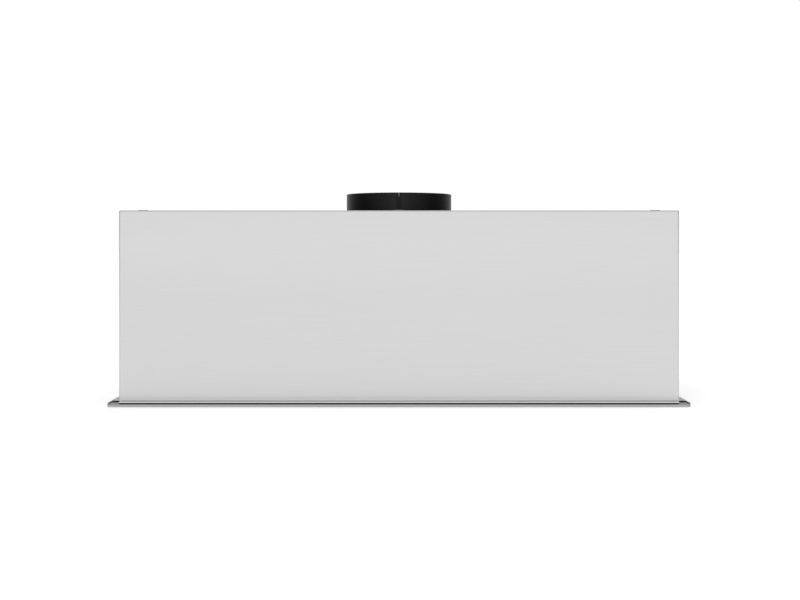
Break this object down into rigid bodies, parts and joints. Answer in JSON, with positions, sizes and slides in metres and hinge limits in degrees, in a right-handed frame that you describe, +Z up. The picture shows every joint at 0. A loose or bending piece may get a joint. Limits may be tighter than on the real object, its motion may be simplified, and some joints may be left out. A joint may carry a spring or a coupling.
{
  "type": "built-in range hood",
  "caption": "Built-in range hood insert: sheet-steel box with a flanged face frame, baffle filters, lights, push buttons, centrifugal blower and a round duct collar with check flaps.",
  "frame": {"origin": "middle of the face frame's underside, on the duct collar's axis", "axes": "+X to the right seen from the front, +Y to the rear wall, +Z up along the duct"},
  "size_m": [0.762, 0.33, 0.2845],
  "materials": {
    "stainless": "fine brushed satin",
    "frame_steel": "darker satin",
    "roof_steel": "mill satin",
    "screw_steel": "satin",
    "zinc_steel": "zinc plated",
    "black_plastic": "fine moulded texture",
    "foam_seal": "closed-cell foam",
    "galvanised": "spangled zinc",
    "wheel_steel": "satin",
    "motor_black": "satin enamel",
    "copper_winding": "varnished",
    "rotor_steel": "turned",
    "filter_steel": "satin",
    "spring_steel": "blued satin",
    "lens": "frosted",
    "light_board": "white solder mask",
    "light_bezel": "satin",
    "button_plastic": "silver satin",
    "bezel_black": "gloss black",
    "circuit_board": "green solder mask",
    "white_plastic": "moulded",
    "cover_plastic": "moulded",
    "capacitor_case": "moulded",
    "bush_rubber": "moulded",
    "lead_sheath": "sheathed"
  },
  "bodies": {
    "housing": {"body_shell": "stainless", "cable_grommet": "bush_rubber", "capacitor": "capacitor_case", "collar_screws": "zinc_steel", "control_bezel": "bezel_black", "control_board": "circuit_board", "control_cover": "cover_plastic", "control_leads": "lead_sheath", "damper_axle": "zinc_steel", "duct_collar": "black_plastic", "electrical_box": "galvanised", "electrical_cover": "galvanised", "face_frame": "frame_steel", "filter_catch_left": "spring_steel", "filter_catch_right": "spring_steel", "flange_gasket": "foam_seal", "frame_screws": "zinc_steel", "inlet_ring_left": "galvanised", "inlet_ring_right": "galvanised", "inner_screws": "zinc_steel", "led_bezel_left": "light_bezel", "led_bezel_right": "light_bezel", "led_board_left": "light_board", "led_board_right": "light_board", "led_driver": "white_plastic", "led_lens_left": "lens", "led_lens_right": "lens", "motor_bearings": "zinc_steel", "motor_lead": "lead_sheath", "motor_shell_left": "motor_black", "motor_shell_right": "motor_black", "motor_spider": "galvanised", "motor_stator": "copper_winding", "rear_panel": "stainless", "rear_screws": "zinc_steel", "scroll_side_left": "galvanised", "scroll_side_right": "galvanised", "scroll_wrap": "galvanised", "switch_bodies": "white_plastic", "terminal_block": "white_plastic", "top_panel": "roof_steel", "top_screws": "screw_steel"},
    "filter_left": {"filter_frame_left": "filter_steel", "filter_baffles_left": "filter_steel", "filter_handle_left": "filter_steel"},
    "damper_left": {"damper_flap_left": "black_plastic"},
    "filter_right": {"filter_frame_right": "filter_steel", "filter_baffles_right": "filter_steel", "filter_handle_right": "filter_steel"},
    "damper_right": {"damper_flap_right": "black_plastic"},
    "fan": {"impeller": "wheel_steel", "impeller_blades": "wheel_steel", "impeller_nut": "zinc_steel", "motor_shaft": "zinc_steel", "motor_rotor": "rotor_steel"},
    "push_power": {"button_power": "button_plastic"},
    "push_light": {"button_light": "button_plastic"},
    "push_speed_1": {"button_speed_1": "button_plastic"},
    "push_speed_2": {"button_speed_2": "button_plastic"},
    "push_speed_3": {"button_speed_3": "button_plastic"}
  },
  "joints": [
    {"name": "filter_left_drop", "type": "hinge", "parent": "housing", "child": "filter_left", "pos_m": [-0.1789, 0.1322, 0.008], "axis": [1, 0, 0], "range_deg": [0, 75]},
    {"name": "damper_left_swing", "type": "hinge", "parent": "housing", "child": "damper_left", "pos_m": [0, 0, 0.27875], "axis": [0, 1, 0], "range_deg": [0, 75]},
    {"name": "filter_right_drop", "type": "hinge", "parent": "housing", "child": "filter_right", "pos_m": [0.1789, 0.1322, 0.008], "axis": [1, 0, 0], "range_deg": [0, 75]},
    {"name": "damper_right_swing", "type": "hinge", "parent": "housing", "child": "damper_right", "pos_m": [0, 0, 0.27875], "axis": [0, -1, 0], "range_deg": [0, 75]},
    {"name": "fan_spin", "type": "hinge", "parent": "housing", "child": "fan", "pos_m": [0, 0.045, 0.14504], "axis": [1, 0, 0], "continuous": true},
    {"name": "power_press", "type": "slide", "parent": "housing", "child": "push_power", "axis": [0, 0, 1], "range_m": [0, 0.002], "stiffness_N_per_m": 300, "springref_m": -0.002},
    {"name": "light_press", "type": "slide", "parent": "housing", "child": "push_light", "axis": [0, 0, 1], "range_m": [0, 0.002], "stiffness_N_per_m": 300, "springref_m": -0.002},
    {"name": "speed_1_press", "type": "slide", "parent": "housing", "child": "push_speed_1", "axis": [0, 0, 1], "range_m": [0, 0.002], "stiffness_N_per_m": 300, "springref_m": -0.002},
    {"name": "speed_2_press", "type": "slide", "parent": "housing", "child": "push_speed_2", "axis": [0, 0, 1], "range_m": [0, 0.002], "stiffness_N_per_m": 300, "springref_m": -0.002},
    {"name": "speed_3_press", "type": "slide", "parent": "housing", "child": "push_speed_3", "axis": [0, 0, 1], "range_m": [0, 0.002], "stiffness_N_per_m": 300, "springref_m": -0.002}
  ]
}
